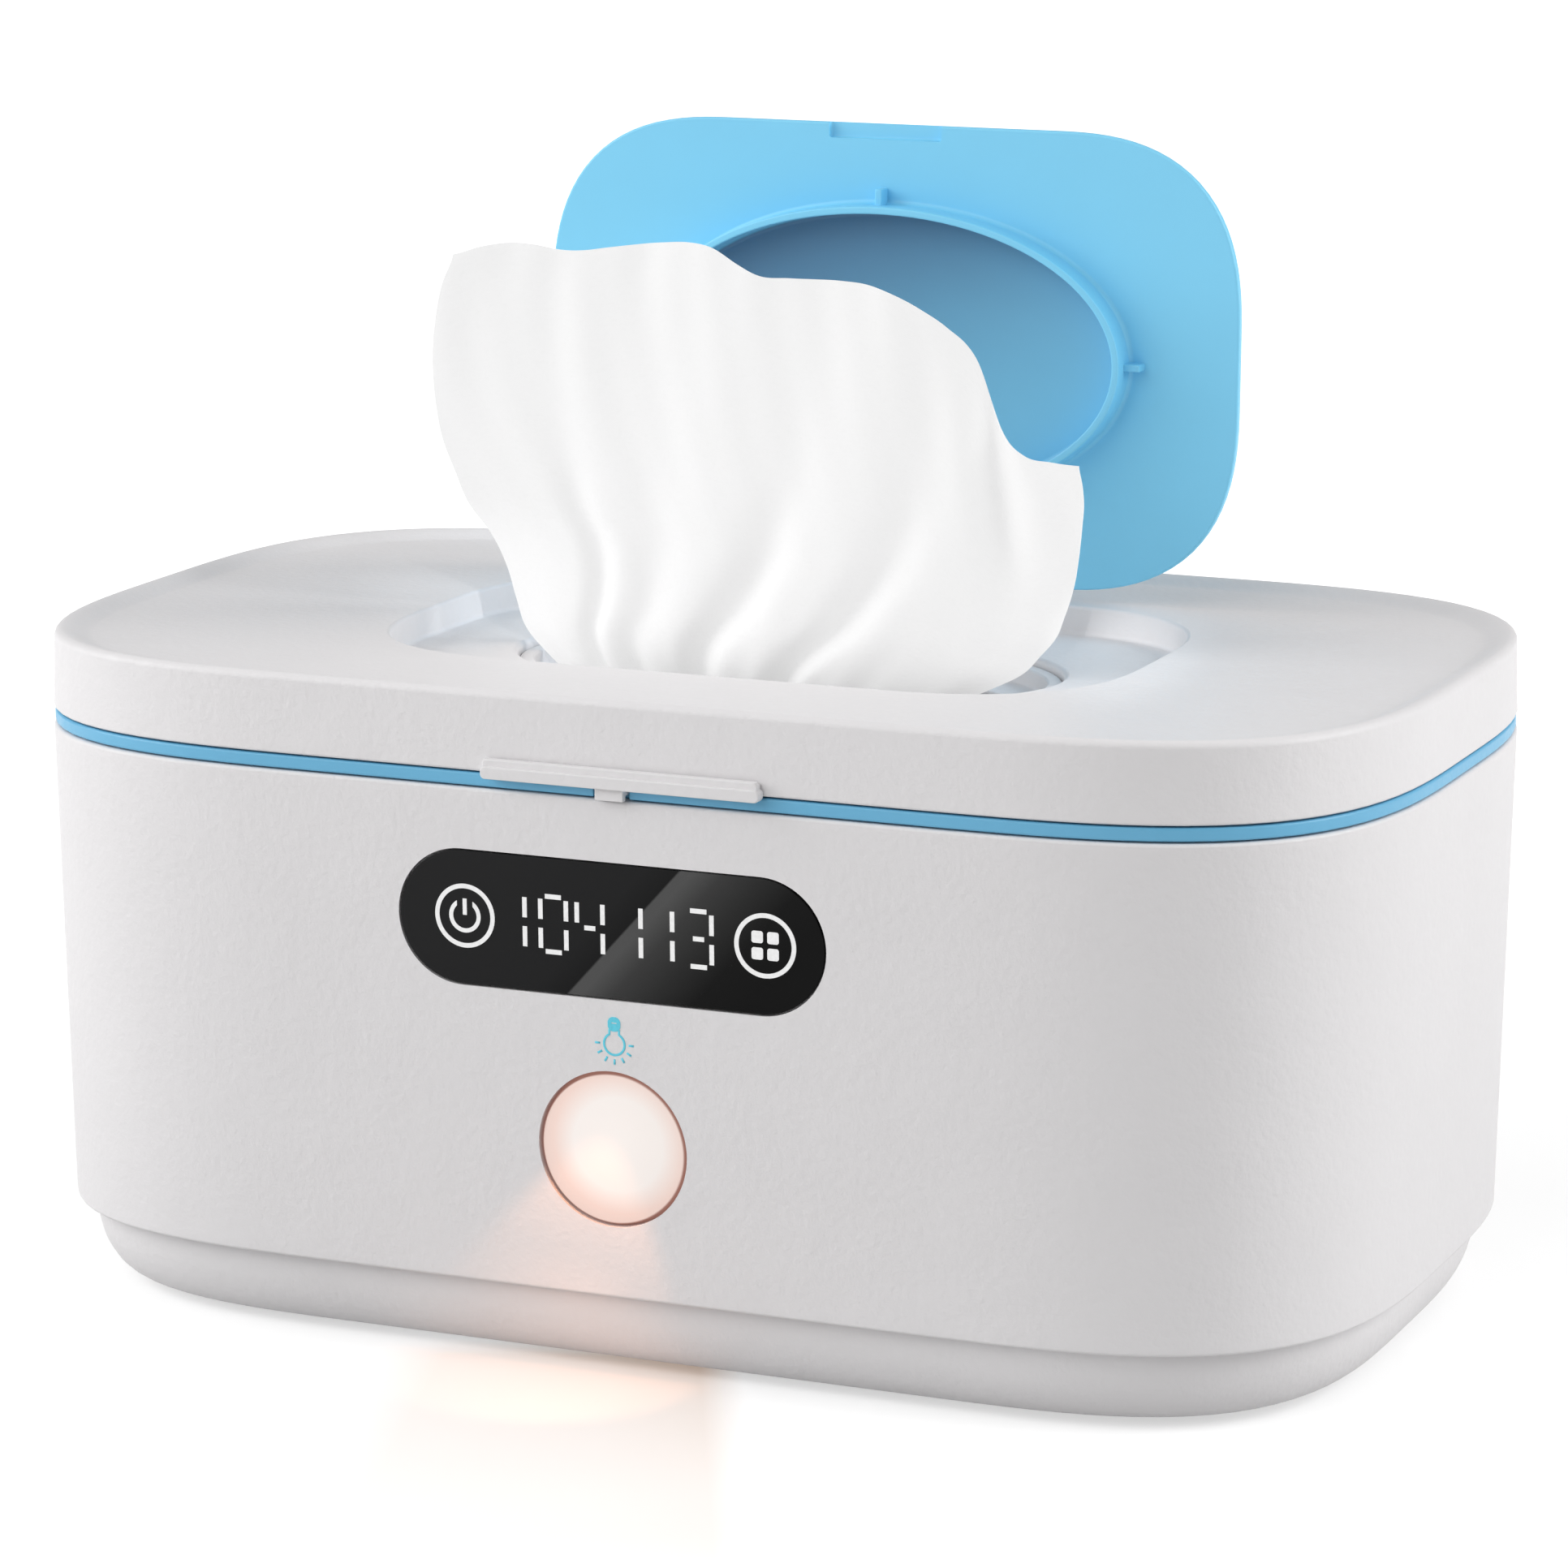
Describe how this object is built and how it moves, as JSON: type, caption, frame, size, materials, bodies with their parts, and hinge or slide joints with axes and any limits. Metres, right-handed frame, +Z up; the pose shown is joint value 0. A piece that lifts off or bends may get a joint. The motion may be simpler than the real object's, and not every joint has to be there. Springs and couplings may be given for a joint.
{
  "type": "baby wipe warmer",
  "caption": "Heated baby wipe box with a hinged lid, a flip cap over the dispensing slot, a touch display and a light button on the front.",
  "frame": {"origin": "centre of the bounding box in X and Y, on the surface that the rubber feet stand on", "axes": "+Z up, -Y towards the front with the display, +X to the right seen from the front"},
  "size_m": [0.24, 0.1536, 0.1932],
  "materials": {
    "shell_plastic": "finely grained white",
    "inner_plastic": "smooth off-white",
    "blue_plastic": "satin light blue",
    "black_window": "gloss black",
    "black_plastic": "matt black",
    "lens_plastic": "frosted warm white, lit from behind",
    "grey_rubber": "matt grey",
    "silicone": "translucent grey",
    "steel": "zinc plated",
    "aluminium": "rolled sheet",
    "heater_film": "amber film",
    "felt": "pressed felt",
    "circuit_board": "green solder mask",
    "lead_rubber": "matt black sleeve",
    "wipe_cloth": "soft white non-woven"
  },
  "bodies": {
    "housing": {"body_shell": "shell_plastic", "base_tray": "shell_plastic", "trim_ring": "blue_plastic", "inner_tank": "inner_plastic", "foot_rear_right": "grey_rubber", "foot_rear_left": "grey_rubber", "foot_front_left": "grey_rubber", "foot_front_right": "grey_rubber", "base_screw_rear_right": "steel", "base_screw_rear_left": "steel", "base_screw_front_left": "steel", "base_screw_front_right": "steel", "heater_plate": "aluminium", "heater_film": "heater_film", "insulation_pad": "felt", "temperature_sensor": "steel", "thermal_cutout": "black_plastic", "control_board": "circuit_board", "power_inlet": "black_plastic", "display_window": "black_window", "display_module": "circuit_board", "touch_pad_power": "silicone", "touch_pad_mode": "silicone", "light_board": "circuit_board", "led": "lens_plastic", "light_switch": "black_plastic", "hinge_pin_left": "steel", "hinge_pin_right": "steel", "light_lead": "lead_rubber", "display_lead": "lead_rubber", "heater_lead": "lead_rubber", "power_lead": "lead_rubber"},
    "lid": {"lid_cover": "shell_plastic", "lid_liner": "inner_plastic", "lid_gasket": "silicone", "dispenser_ring": "shell_plastic", "lift_bar": "shell_plastic", "lid_screw_rear_right": "steel", "lid_screw_rear_left": "steel", "lid_screw_front_left": "steel", "lid_screw_front_right": "steel", "wipe": "wipe_cloth"},
    "cap": {"flip_cap": "blue_plastic"},
    "light_button": {"light_lens": "lens_plastic"}
  },
  "joints": [
    {"name": "lid_hinge", "type": "hinge", "parent": "housing", "child": "lid", "pos_m": [0, 0.0737, 0.0986], "axis": [-1, 0, 0], "range_deg": [0, 95]},
    {"name": "cap_hinge", "type": "hinge", "parent": "lid", "child": "cap", "pos_m": [0, 0.04325, 0.1098], "axis": [-1, 0, 0], "range_deg": [-91, 0], "deforming": ["wipe"]},
    {"name": "light_button_press", "type": "slide", "parent": "housing", "child": "light_button", "axis": [0, 0.9998, 0.0198], "range_m": [0, 0.001], "stiffness_N_per_m": 400}
  ]
}
